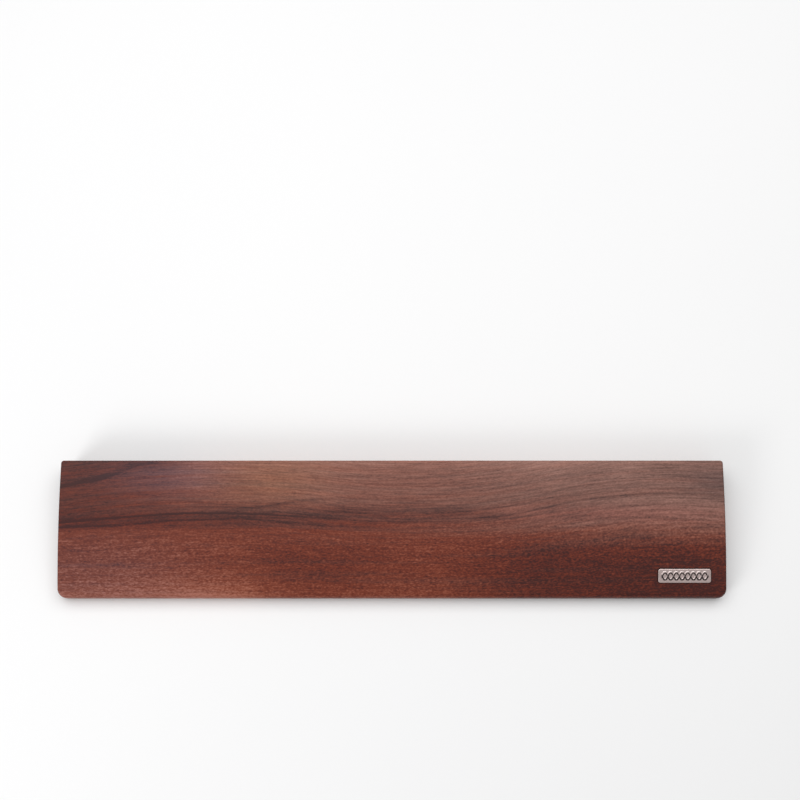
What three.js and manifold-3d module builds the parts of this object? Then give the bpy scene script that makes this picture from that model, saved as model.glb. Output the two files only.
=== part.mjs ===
// A wooden wrist rest that lies in front of a compact keyboard.
//
// One solid walnut board is the body. Its palm surface is an arc that is level along the tall back edge,
// next to the keyboard, and falls to a low, rounded front edge. A die-struck metal badge sits in a shallow
// pocket near the right end of the front edge, held by an adhesive film and by two pins pressed into
// drilled holes. Six rubber feet sit in round recesses in the underside, each on its own adhesive disc.
//
// Frame: millimetres, +X to the right along the length (the badge's end), +Y to the back (the tall edge),
// +Z up. The origin is the centre of the footprint, on the plane of the feet's undersides.
import * as THREE from "three";
import { mergeVertices } from "three/addons/utils/BufferGeometryUtils.js";
import Module from "manifold-3d";

const wasm = await Module();
wasm.setup();

// ---- Body ----
const LENGTH = 368;
const DEPTH = 75;
const BACK_THICKNESS = 17;
const FRONT_THICKNESS = 7.5; // where the palm arc would meet the front wall, before the edge is rounded
const FRONT_CORNER = 4.6; // radii of the corners, seen from above
const BACK_CORNER = 1.6;
const FRONT_EASE = 2.4; // radii of the rounded edges
const END_EASE = 1;
const BOTTOM_EASE = 0.8;
const SIDE_STEPS = 18; // facets of the palm arc between the front and back corners
const CORNER_STEPS = 6; // facets of each corner
const EASE_STEPS = 4; // facets of each rounded edge

// ---- Feet ----
const FOOT_DIAMETER = 12;
const FOOT_STANDOFF = 1; // how far the feet hold the board off the desk
const FOOT_EASE = 0.5;
const RECESS_DEPTH = 1.3;
const RECESS_CLEARANCE = 0.3; // round the foot
const TAPE_THICKNESS = 0.3; // the adhesive disc above each foot
const TAPE_SETBACK = 0.5; // the disc is this much smaller than its foot, all round
const FOOT_END_MARGIN = 22; // from an end of the board to the centre of its outer feet
const FOOT_EDGE_MARGIN = 13; // from the front or back edge to the centre of a foot
const ROUND_STEPS = 32; // facets of a foot

// ---- Badge ----
const BADGE_LENGTH = 29;
const BADGE_DEPTH = 7.7;
const BADGE_THICKNESS = 1.2;
const BADGE_PROUD = 0.6; // how far its face stands out of the wood
const BADGE_CORNER = 1.3;
const BADGE_EASE = 0.4; // round its face
const BADGE_BACK_EASE = 0.1;
const BADGE_END_MARGIN = 8.7; // from the right end of the board to the badge
const BADGE_FRONT_MARGIN = 8; // from the front edge of the board to the badge
const POCKET_CLEARANCE = 0.3; // round the badge
const SEAT_GAP = 0.2; // left between the pieces that are stacked in the sloping pocket
const FILM_THICKNESS = 0.4;
const FILM_SETBACK = 0.8;
const PIN_DIAMETER = 1.6;
const PIN_REACH = 3.5; // how far a pin stands out of the back of the badge
const PIN_SOCKET = 0.5; // how deep it is set into the badge
const PIN_CLEARANCE = 0.2; // round a pin, and below its tip
const PIN_SETBACK = 4.5; // from an end of the badge to a pin's axis
const PIN_STEPS = 20;
const BRAID_PERIODS = 4; // the relief on the badge's face is a braid of two crossing waves
const BRAID_MARGIN = 2; // from an end of the badge to the braid
const BRAID_SWING = 1.9; // from the centre line to a wave's crest
const BRAID_WIDTH = 0.9;
const BRAID_RELIEF = 0.35;
const BRAID_STEPS = 14; // facets of one period

// ---- Worked out from the driving dimensions ----
const UNDERSIDE_Z = FOOT_STANDOFF;
const BACK_Z = UNDERSIDE_Z + BACK_THICKNESS;
const PALM_DROP = BACK_THICKNESS - FRONT_THICKNESS;
const PALM_RADIUS = (DEPTH ** 2 + PALM_DROP ** 2) / (2 * PALM_DROP);
const FILM_DEPTH = BADGE_THICKNESS - BADGE_PROUD + SEAT_GAP; // from the palm surface down to the film
const POCKET_DEPTH = FILM_DEPTH + FILM_THICKNESS + SEAT_GAP;

// Height of the palm surface at a distance y from the board's centre line.
function palmHeight(y) {
  const fromBack = DEPTH / 2 - y;
  return BACK_Z - PALM_RADIUS + Math.sqrt(PALM_RADIUS ** 2 - fromBack ** 2);
}

// Slope angle of the palm surface at y, in radians: 0 along the back edge, growing to the front.
function palmSlope(y) {
  return Math.asin((DEPTH / 2 - y) / PALM_RADIUS);
}

// A closed geometry as a manifold-3d solid.
function solidOf(geometry) {
  const bare = geometry.clone();
  bare.deleteAttribute("normal");
  bare.deleteAttribute("uv");
  const merged = mergeVertices(bare);
  return new wasm.Manifold(
    new wasm.Mesh({
      numProp: 3,
      vertProperties: merged.attributes.position.array,
      triVerts: new Uint32Array(merged.index.array),
    }),
  );
}

// A manifold-3d solid as a geometry.
function geometryOf(solid) {
  const mesh = solid.getMesh();
  const geometry = new THREE.BufferGeometry();
  geometry.setAttribute("position", new THREE.BufferAttribute(mesh.vertProperties, 3));
  geometry.setIndex(new THREE.BufferAttribute(mesh.triVerts, 1));
  geometry.computeVertexNormals();
  return geometry;
}

// The right-hand half of a rounded rectangle, from the front edge to the back one, as points with the
// direction that the outline faces there.
function halfOutline({ length, depth, frontCorner, backCorner, sideSteps }) {
  const points = [];
  const corner = (radius, y, from, to) => {
    for (let i = 0; i <= CORNER_STEPS; i++) {
      const angle = THREE.MathUtils.lerp(from, to, i / CORNER_STEPS);
      points.push({ x: length / 2 - radius, y, radius, nx: Math.cos(angle), ny: Math.sin(angle) });
    }
  };
  corner(frontCorner, frontCorner - depth / 2, -Math.PI / 2, 0);
  for (let i = 1; i < sideSteps; i++) {
    const y = THREE.MathUtils.lerp(frontCorner - depth / 2, depth / 2 - backCorner, i / sideSteps);
    points.push({ x: length / 2, y, radius: 0, nx: 1, ny: 0 });
  }
  corner(backCorner, depth / 2 - backCorner, 0, Math.PI / 2);
  return points;
}

// A block with a rounded-rectangle outline, a flat bottom, a top whose height depends on y, and rounded
// edges. The top edge has frontEase along the front and endEase along the ends and the back.
function easedBlock(block) {
  const { bottom, topAt, frontEase, endEase, bottomEase } = block;
  const half = halfOutline(block);
  // One ring of the skin: the outline moved inwards by inset(point), at heightOf(point, y).
  const ring = (inset, heightOf) => {
    const right = half.map((p) => {
      const reach = p.radius - inset(p);
      const y = p.y + reach * p.ny;
      return [p.x + reach * p.nx, y, heightOf(p, y)];
    });
    const left = right.map(([x, y, z]) => [-x, y, z]).reverse();
    return [...right, ...left];
  };
  // Round a corner the radius changes slowly enough that the cap's rungs stay in order from front to back.
  const easeAt = (p) => THREE.MathUtils.lerp(endEase, frontEase, Math.max(0, -p.ny));
  const rings = [];
  for (let i = 0; i <= EASE_STEPS; i++) {
    const angle = ((i / EASE_STEPS) * Math.PI) / 2;
    const inset = () => bottomEase * (1 - Math.sin(angle));
    rings.push(ring(inset, () => bottom + bottomEase * (1 - Math.cos(angle))));
  }
  for (let i = 0; i <= EASE_STEPS; i++) {
    const angle = ((i / EASE_STEPS) * Math.PI) / 2;
    const inset = (p) => easeAt(p) * (1 - Math.cos(angle));
    rings.push(ring(inset, (p, y) => topAt(y) - easeAt(p) * (1 - Math.sin(angle))));
  }

  const around = 2 * half.length;
  const indices = [];
  const quad = (a, b, c, d) => indices.push(a, b, c, a, c, d);
  for (let level = 0; level < rings.length - 1; level++) {
    for (let i = 0; i < around; i++) {
      const j = (i + 1) % around;
      const low = level * around;
      const high = low + around;
      quad(low + i, low + j, high + j, high + i);
    }
  }
  // Each cap is a ladder whose rungs join the two points with the same y.
  const roof = (rings.length - 1) * around;
  for (let i = 0; i < half.length - 1; i++) {
    const mirror = around - 1 - i;
    quad(roof + i, roof + i + 1, roof + mirror - 1, roof + mirror);
    quad(mirror, mirror - 1, i + 1, i);
  }
  const geometry = new THREE.BufferGeometry();
  geometry.setAttribute("position", new THREE.Float32BufferAttribute(rings.flat(2), 3));
  geometry.setIndex(indices);
  geometry.computeVertexNormals();
  return geometry;
}

// A round piece about the Z axis, from [radius, z] pairs that start and end on the axis, lowest first.
function turned(profile, steps) {
  const points = profile.map(([radius, z]) => new THREE.Vector2(radius, z));
  return new THREE.LatheGeometry(points, steps).rotateX(Math.PI / 2);
}

// A plain cylinder about the Z axis, between two heights.
function roundBar(radius, low, high, steps) {
  return turned([[0, low], [radius, low], [radius, high], [0, high]], steps);
}

// A flat-sided block with a rounded-rectangle outline, between two heights, with round holes through it.
function flatBlock(length, depth, corner, low, high, holes = []) {
  const x = length / 2;
  const y = depth / 2;
  const shape = new THREE.Shape();
  shape.absarc(x - corner, y - corner, corner, 0, Math.PI / 2);
  shape.absarc(corner - x, y - corner, corner, Math.PI / 2, Math.PI);
  shape.absarc(corner - x, corner - y, corner, Math.PI, 1.5 * Math.PI);
  shape.absarc(x - corner, corner - y, corner, 1.5 * Math.PI, 2 * Math.PI);
  for (const hole of holes) {
    shape.holes.push(new THREE.Path().absarc(hole.x, 0, hole.radius, 0, 2 * Math.PI, true));
  }
  const options = { depth: high - low, bevelEnabled: false, curveSegments: CORNER_STEPS };
  return new THREE.ExtrudeGeometry(shape, options).translate(0, 0, low);
}

// One wave of the braid, as a flat ribbon of even width that stands up from z = low to z = high.
function braidStrand(swing, low, high) {
  const span = BADGE_LENGTH - 2 * BRAID_MARGIN;
  const turns = (2 * Math.PI * BRAID_PERIODS) / span;
  const steps = BRAID_PERIODS * BRAID_STEPS;
  const edge = (side) =>
    Array.from({ length: steps + 1 }, (_, i) => {
      const x = (span * i) / steps;
      const slope = swing * turns * Math.cos(turns * x);
      const stretch = (side * BRAID_WIDTH) / 2 / Math.hypot(1, slope);
      const y = swing * Math.sin(turns * x);
      return new THREE.Vector2(x - span / 2 - slope * stretch, y + stretch);
    });
  const outline = new THREE.Shape([...edge(-1), ...edge(1).reverse()]);
  const options = { depth: high - low, bevelEnabled: false };
  return new THREE.ExtrudeGeometry(outline, options).translate(0, 0, low);
}

const finish = {
  walnut: new THREE.MeshStandardMaterial({ color: 0x6b3a2c, roughness: 0.5, metalness: 0 }),
  nickel: new THREE.MeshStandardMaterial({ color: 0xb9aca8, roughness: 0.3, metalness: 1 }),
  brass: new THREE.MeshStandardMaterial({ color: 0xb08d57, roughness: 0.35, metalness: 1 }),
  rubber: new THREE.MeshStandardMaterial({ color: 0x1c1c1e, roughness: 0.8, metalness: 0 }),
  tape: new THREE.MeshStandardMaterial({ color: 0xd8d4cc, roughness: 0.6, metalness: 0 }),
};

function piece(name, geometry, material) {
  const mesh = new THREE.Mesh(geometry, material);
  mesh.name = name;
  return mesh;
}

// ---- Where the feet go ----
const footRows = [
  { row: "front", y: FOOT_EDGE_MARGIN - DEPTH / 2 },
  { row: "back", y: DEPTH / 2 - FOOT_EDGE_MARGIN },
];
const footColumns = [
  { column: "left", x: FOOT_END_MARGIN - LENGTH / 2 },
  { column: "middle", x: 0 },
  { column: "right", x: LENGTH / 2 - FOOT_END_MARGIN },
];
const footPlaces = footRows.flatMap(({ row, y }) =>
  footColumns.map(({ column, x }) => ({ place: `${row}_${column}`, x, y })),
);

// ---- Where the badge goes: a frame that lies on the palm surface, its +Z the surface's normal ----
const badgeY = BADGE_FRONT_MARGIN + BADGE_DEPTH / 2 - DEPTH / 2;
const badge = new THREE.Group();
badge.position.set(LENGTH / 2 - BADGE_END_MARGIN - BADGE_LENGTH / 2, badgeY, palmHeight(badgeY));
badge.rotation.x = palmSlope(badgeY);
badge.updateMatrix();
const pins = [
  { side: "left", x: PIN_SETBACK - BADGE_LENGTH / 2 },
  { side: "right", x: BADGE_LENGTH / 2 - PIN_SETBACK },
];
const plateBack = BADGE_PROUD - BADGE_THICKNESS;
const pinRadius = PIN_DIAMETER / 2;

// ---- The board, with its foot recesses, badge pocket and pin holes ----
function woodBody() {
  const board = easedBlock({
    length: LENGTH,
    depth: DEPTH,
    frontCorner: FRONT_CORNER,
    backCorner: BACK_CORNER,
    sideSteps: SIDE_STEPS,
    bottom: UNDERSIDE_Z,
    topAt: palmHeight,
    frontEase: FRONT_EASE,
    endEase: END_EASE,
    bottomEase: BOTTOM_EASE,
  });
  let solid = solidOf(board);
  const recessRadius = FOOT_DIAMETER / 2 + RECESS_CLEARANCE;
  for (const { x, y } of footPlaces) {
    const recess = roundBar(recessRadius, 0, UNDERSIDE_Z + RECESS_DEPTH, ROUND_STEPS);
    solid = solid.subtract(solidOf(recess.translate(x, y, 0)));
  }
  const pocket = flatBlock(
    BADGE_LENGTH + 2 * POCKET_CLEARANCE,
    BADGE_DEPTH + 2 * POCKET_CLEARANCE,
    BADGE_CORNER + POCKET_CLEARANCE,
    -POCKET_DEPTH,
    BADGE_THICKNESS,
  );
  solid = solid.subtract(solidOf(pocket.applyMatrix4(badge.matrix)));
  for (const { x } of pins) {
    const tip = plateBack - PIN_REACH - PIN_CLEARANCE;
    const hole = roundBar(pinRadius + PIN_CLEARANCE, tip, BADGE_THICKNESS, PIN_STEPS);
    solid = solid.subtract(solidOf(hole.translate(x, 0, 0).applyMatrix4(badge.matrix)));
  }
  return piece("wood_body", geometryOf(solid), finish.walnut);
}

// ---- The feet, each with the adhesive disc that holds it up in its recess ----
function footGeometry() {
  const radius = FOOT_DIAMETER / 2;
  const top = UNDERSIDE_Z + RECESS_DEPTH - TAPE_THICKNESS;
  const profile = [[0, 0]];
  for (let i = 0; i <= EASE_STEPS; i++) {
    const angle = ((i / EASE_STEPS) * Math.PI) / 2;
    profile.push([radius - FOOT_EASE * (1 - Math.sin(angle)), FOOT_EASE * (1 - Math.cos(angle))]);
  }
  profile.push([radius, top], [0, top]);
  return turned(profile, ROUND_STEPS);
}

function tapeGeometry() {
  const high = UNDERSIDE_Z + RECESS_DEPTH;
  return roundBar(FOOT_DIAMETER / 2 - TAPE_SETBACK, high - TAPE_THICKNESS, high, ROUND_STEPS);
}

// ---- The badge's pieces, in the badge's own frame ----
function badgePlate() {
  const plate = easedBlock({
    length: BADGE_LENGTH,
    depth: BADGE_DEPTH,
    frontCorner: BADGE_CORNER,
    backCorner: BADGE_CORNER,
    sideSteps: 1,
    bottom: plateBack,
    topAt: () => BADGE_PROUD,
    frontEase: BADGE_EASE,
    endEase: BADGE_EASE,
    bottomEase: BADGE_BACK_EASE,
  });
  let solid = solidOf(plate);
  for (const swing of [BRAID_SWING, -BRAID_SWING]) {
    const strand = braidStrand(swing, BADGE_PROUD - BADGE_EASE, BADGE_PROUD + BRAID_RELIEF);
    solid = solid.add(solidOf(strand));
  }
  for (const { x } of pins) {
    const socket = roundBar(
      pinRadius + PIN_CLEARANCE,
      plateBack - BADGE_THICKNESS,
      plateBack + PIN_SOCKET,
      PIN_STEPS,
    );
    solid = solid.subtract(solidOf(socket.translate(x, 0, 0)));
  }
  return piece("badge_plate", geometryOf(solid), finish.nickel);
}

function badgeFilm() {
  const holes = pins.map(({ x }) => ({ x, radius: pinRadius + PIN_CLEARANCE }));
  const film = flatBlock(
    BADGE_LENGTH - 2 * FILM_SETBACK,
    BADGE_DEPTH - 2 * FILM_SETBACK,
    BADGE_CORNER - FILM_SETBACK,
    -FILM_DEPTH - FILM_THICKNESS,
    -FILM_DEPTH,
    holes,
  );
  return piece("badge_adhesive_film", film, finish.tape);
}

function badgePin({ side, x }) {
  const high = plateBack + PIN_SOCKET - SEAT_GAP;
  const bar = roundBar(pinRadius, plateBack - PIN_REACH, high, PIN_STEPS);
  return piece(`badge_pin_${side}`, bar.translate(x, 0, 0), finish.brass);
}

// ---- The assembly ----
const wristRest = new THREE.Group();
wristRest.add(woodBody());
badge.add(badgePlate(), badgeFilm(), ...pins.map(badgePin));
wristRest.add(badge);
for (const { place, x, y } of footPlaces) {
  const foot = piece(`foot_${place}`, footGeometry(), finish.rubber);
  const tape = piece(`foot_adhesive_${place}`, tapeGeometry(), finish.tape);
  const station = new THREE.Group();
  station.position.set(x, y, 0);
  station.add(foot, tape);
  wristRest.add(station);
}

export default wristRest;
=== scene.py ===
"""A walnut wrist rest for a keyboard: its finished surfaces, its materials, the studio and the camera.

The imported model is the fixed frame. Lengths are in metres. +X runs to the right along the board, +Y to
the tall back edge and +Z up. The origin is the centre of the footprint, on the plane that the feet
stand on.
"""

import logging
import math
from collections.abc import Callable, Iterable, Sequence
from dataclasses import dataclass
from enum import Enum

import bmesh
import bpy
from mathutils import Matrix, Vector


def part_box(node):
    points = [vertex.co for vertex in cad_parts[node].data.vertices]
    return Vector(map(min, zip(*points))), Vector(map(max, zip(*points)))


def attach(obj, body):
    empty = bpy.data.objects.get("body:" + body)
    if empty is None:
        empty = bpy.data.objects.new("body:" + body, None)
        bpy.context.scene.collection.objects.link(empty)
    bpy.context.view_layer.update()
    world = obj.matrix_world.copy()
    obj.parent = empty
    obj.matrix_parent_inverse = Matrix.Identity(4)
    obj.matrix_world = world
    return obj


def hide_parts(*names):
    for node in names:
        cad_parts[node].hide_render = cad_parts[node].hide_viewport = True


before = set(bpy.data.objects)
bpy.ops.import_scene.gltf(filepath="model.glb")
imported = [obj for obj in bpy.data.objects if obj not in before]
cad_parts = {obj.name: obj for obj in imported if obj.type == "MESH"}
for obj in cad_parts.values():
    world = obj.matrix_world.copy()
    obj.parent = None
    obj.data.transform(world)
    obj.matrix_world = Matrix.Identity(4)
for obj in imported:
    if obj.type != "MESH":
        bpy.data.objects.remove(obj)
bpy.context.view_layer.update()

MM = 0.001
ROOT = "root"
SHARP_ANGLE = math.radians(28)
MOUTH_STEPS = 5  # the facets of a recess's or a pocket's rounded mouth

log = logging.getLogger("wrist_rest")

Point2 = tuple[float, float]
Colour = tuple[float, float, float]


class Slot(Enum):
    """The record's material slots of the pieces that are made here."""

    WALNUT = "walnut"
    NICKEL = "badge_nickel"
    RUBBER = "foot_rubber"


# ---------------------------------------------------------------- Shader building


class Signal:
    """A number that varies over a surface: an output socket with Python arithmetic."""

    def __init__(self, graph: "Graph", socket: bpy.types.NodeSocket) -> None:
        """Wraps a socket.

        Args:
            graph: The material that the socket belongs to.
            socket: The node's output.
        """
        self.graph = graph
        self.socket = socket

    def __add__(self, other: "Signal | float") -> "Signal":
        """The sum."""
        return self.graph.math("ADD", self, other)

    __radd__ = __add__

    def __sub__(self, other: "Signal | float") -> "Signal":
        """The difference."""
        return self.graph.math("SUBTRACT", self, other)

    def __rsub__(self, other: float) -> "Signal":
        """A number minus this."""
        return self.graph.math("SUBTRACT", other, self)

    def __mul__(self, other: "Signal | float") -> "Signal":
        """The product."""
        return self.graph.math("MULTIPLY", self, other)

    __rmul__ = __mul__

    def __truediv__(self, other: "Signal | float") -> "Signal":
        """The quotient."""
        return self.graph.math("DIVIDE", self, other)

    def __rtruediv__(self, other: float) -> "Signal":
        """A number over this."""
        return self.graph.math("DIVIDE", other, self)

    def __abs__(self) -> "Signal":
        """The size, without its sign."""
        return self.graph.math("ABSOLUTE", self)

    def at_least(self, low: float) -> "Signal":
        """This, but no lower than low."""
        return self.graph.math("MAXIMUM", self, low)

    def at_most(self, high: float) -> "Signal":
        """This, but no higher than high."""
        return self.graph.math("MINIMUM", self, high)

    def bell(self) -> "Signal":
        """1 where this is 0, falling to 0 on both sides as a bell."""
        return self.graph.math("EXPONENT", 0 - self * self)

    def rise(self, low: float, high: float) -> "Signal":
        """A smooth step.

        Args:
            low: Where the step starts, at 0.
            high: Where it ends, at 1. It may be below low, for a step down.

        Returns:
            The step's height.
        """
        if high < low:
            return 1 - self.rise(high, low)
        settings = {"interpolation_type": "SMOOTHSTEP"}
        made = self.graph.node(
            "ShaderNodeMapRange", settings, {"Value": self, "From Min": low, "From Max": high}
        )
        return Signal(self.graph, made.outputs["Result"])

    def curve(self, knots: Sequence[Point2]) -> "Signal":
        """A smooth curve of this, from 0 to 1 both ways.

        Args:
            knots: The points that it passes through, in order.

        Returns:
            The curve's height.
        """
        made = self.graph.node("ShaderNodeFloatCurve", {"knots": knots}, {"Value": self})
        return Signal(self.graph, made.outputs[0])

    def ramp(self, stops: Sequence[tuple[float, Colour]]) -> bpy.types.NodeSocket:
        """A colour that changes with this.

        Args:
            stops: Each stop's place and colour, in order.

        Returns:
            The colour.
        """
        return self.graph.node("ShaderNodeValToRGB", {"stops": stops}, {"Fac": self}).outputs["Color"]


class Graph:
    """Builds one material's node tree."""

    MIX_FACTOR, MIX_A, MIX_B, MIX_RESULT = 0, 6, 7, 2

    def __init__(self, name: str) -> None:
        """Starts an empty material.

        Args:
            name: The material's name.
        """
        self.material = bpy.data.materials.new(name)
        self.material.use_nodes = True
        self.tree = self.material.node_tree
        self.tree.nodes.clear()

    def node(
        self,
        kind: str,
        settings: dict[str, object] | None = None,
        sockets: dict[str | int, object] | None = None,
    ) -> bpy.types.Node:
        """Adds a node.

        Args:
            kind: The node's type.
            settings: Its properties, with "stops" for a colour ramp's and "knots" for a curve's.
            sockets: A value or a link for each named or numbered input.

        Returns:
            The node.
        """
        made = self.tree.nodes.new(kind)
        for key, value in (settings or {}).items():
            if key == "stops":
                self._set_stops(made, value)
            elif key == "knots":
                self._set_knots(made, value)
            else:
                setattr(made, key, value)
        for key, value in (sockets or {}).items():
            self._feed(made.inputs[key], value)
        return made

    def _feed(self, socket: bpy.types.NodeSocket, value: object) -> None:
        """Links or sets one input.

        Args:
            socket: The input.
            value: A Signal, an output socket, a number or a tuple.
        """
        if isinstance(value, Signal):
            value = value.socket
        if isinstance(value, bpy.types.NodeSocket):
            self.tree.links.new(value, socket)
        elif isinstance(value, tuple) and len(value) == 3 and socket.type == "RGBA":
            socket.default_value = (*value, 1.0)
        else:
            socket.default_value = value

    @staticmethod
    def _set_stops(made: bpy.types.Node, stops: Sequence[tuple[float, Colour]]) -> None:
        """Sets a colour ramp's stops.

        Args:
            made: The ramp node.
            stops: Each stop's place and colour, in order.
        """
        elements = made.color_ramp.elements
        while len(elements) < len(stops):
            elements.new(1.0)
        for element, (place, colour) in zip(elements, stops):
            element.position = place
            element.color = (*colour, 1.0)

    @staticmethod
    def _set_knots(made: bpy.types.Node, knots: Sequence[Point2]) -> None:
        """Sets a curve's knots.

        Args:
            made: The curve node.
            knots: The points that it passes through, in order.
        """
        points = made.mapping.curves[0].points
        while len(points) < len(knots):
            points.new(1.0, 1.0)
        for point, place in zip(points, knots):
            point.location = place
        made.mapping.update()

    def math(self, operation: str, *values: "Signal | float") -> Signal:
        """Adds a Math node.

        Args:
            operation: What it does.
            *values: Its inputs.

        Returns:
            Its result.
        """
        made = self.node("ShaderNodeMath", {"operation": operation}, dict(enumerate(values)))
        return Signal(self, made.outputs[0])

    def mix(
        self, share: Signal, first: object, second: object, way: str = "MIX"
    ) -> bpy.types.NodeSocket:
        """Mixes two colours.

        Args:
            share: How much of the second colour there is.
            first: The first colour.
            second: The second colour.
            way: The blend mode.

        Returns:
            The mixed colour.
        """
        settings = {"data_type": "RGBA", "blend_type": way, "clamp_factor": True}
        sockets = {self.MIX_FACTOR: share, self.MIX_A: first, self.MIX_B: second}
        return self.node("ShaderNodeMix", settings, sockets).outputs[self.MIX_RESULT]

    def object_axes(self, output: str = "Object") -> tuple[Signal, Signal, Signal]:
        """The surface point's own coordinates, in metres, or its normal.

        Args:
            output: "Object" for the point, "Normal" for the normal.

        Returns:
            X, Y and Z.
        """
        source = self.node("ShaderNodeTexCoord").outputs[output]
        parts = self.node("ShaderNodeSeparateXYZ", None, {"Vector": source}).outputs
        return Signal(self, parts["X"]), Signal(self, parts["Y"]), Signal(self, parts["Z"])

    def bump(self, height: Signal, depth: float) -> bpy.types.NodeSocket:
        """A normal from a height.

        Args:
            height: The height, from 0 to 1.
            depth: How deep 1 is, in metres.

        Returns:
            The normal.
        """
        sockets = {"Height": height, "Distance": depth, "Strength": 1.0}
        return self.node("ShaderNodeBump", None, sockets).outputs["Normal"]

    def surface(self, sockets: dict[str | int, object]) -> bpy.types.Material:
        """Ends the material with a Principled shader.

        Args:
            sockets: The shader's inputs.

        Returns:
            The finished material.
        """
        shader = self.node("ShaderNodeBsdfPrincipled", None, sockets)
        self.node("ShaderNodeOutputMaterial", None, {"Surface": shader.outputs["BSDF"]})
        return self.material


@dataclass(frozen=True)
class Cells:
    """Smooth noise, by the size of its cells along each axis, in millimetres."""

    x: float
    y: float
    z: float
    detail: float = 2.0  # how many finer layers it has
    roughness: float = 0.5  # how strong those layers are

    def draw(self, x: Signal, y: Signal, z: Signal) -> Signal:
        """The noise at a point, centred on 0 and mostly within 1 of it.

        Args:
            x: The point, in metres.
            y: The point, in metres.
            z: The point, in metres.

        Returns:
            The noise.
        """
        axes = {"X": x / (self.x * MM), "Y": y / (self.y * MM), "Z": z / (self.z * MM)}
        place = x.graph.node("ShaderNodeCombineXYZ", None, axes).outputs["Vector"]
        sockets = {"Vector": place, "Scale": 1.0, "Detail": self.detail, "Roughness": self.roughness}
        made = x.graph.node("ShaderNodeTexNoise", None, sockets)
        return (Signal(x.graph, made.outputs["Fac"]) - 0.5) * 4


# ---------------------------------------------------------------- Finishes


@dataclass(frozen=True)
class Knot:
    """A point on a growth line, as shares of the board: 0 left to 1 right, and 0 front to 1 back."""

    along: float
    across: float
    strength: float


@dataclass(frozen=True)
class GrowthLine:
    """A dark line in the wood's figure, with its own softness on each side, in millimetres."""

    front_width: float
    back_width: float
    knots: tuple[Knot, ...]

    def draw(self, along: Signal, across: Signal, depth: float) -> Signal:
        """How dark this line makes the wood.

        Args:
            along: The share of the board's length.
            across: The share of its depth.
            depth: The board's depth.

        Returns:
            The darkness, 0 away from the line.
        """
        centre = along.curve([(knot.along, knot.across) for knot in self.knots])
        strength = along.curve([(knot.along, knot.strength) for knot in self.knots])
        offset = (across - centre) * depth
        to_back = offset.at_least(0) / (self.back_width * MM)
        to_front = offset.at_most(0) / (self.front_width * MM)
        return (to_back + to_front).bell() * strength


@dataclass(frozen=True)
class Patch:
    """A soft oval area of the board, as shares of it, and the ratio by which it changes the colour."""

    along: float
    across: float
    half_length: float
    half_depth: float
    tint: Colour

    def draw(self, along: Signal, across: Signal) -> Signal:
        """How much of the tint there is.

        Args:
            along: The share of the board's length.
            across: The share of its depth.

        Returns:
            1 in the middle of the patch and 0 far from it.
        """
        x = (along - self.along) / self.half_length
        y = (across - self.across) / self.half_depth
        return along.graph.math("EXPONENT", 0 - (x * x + y * y))


@dataclass(frozen=True)
class GroundStrip:
    """The wood's slow tone from front to back at one place along the board, 0 light to 1 dark."""

    along: float
    knots: tuple[Point2, ...]


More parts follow.
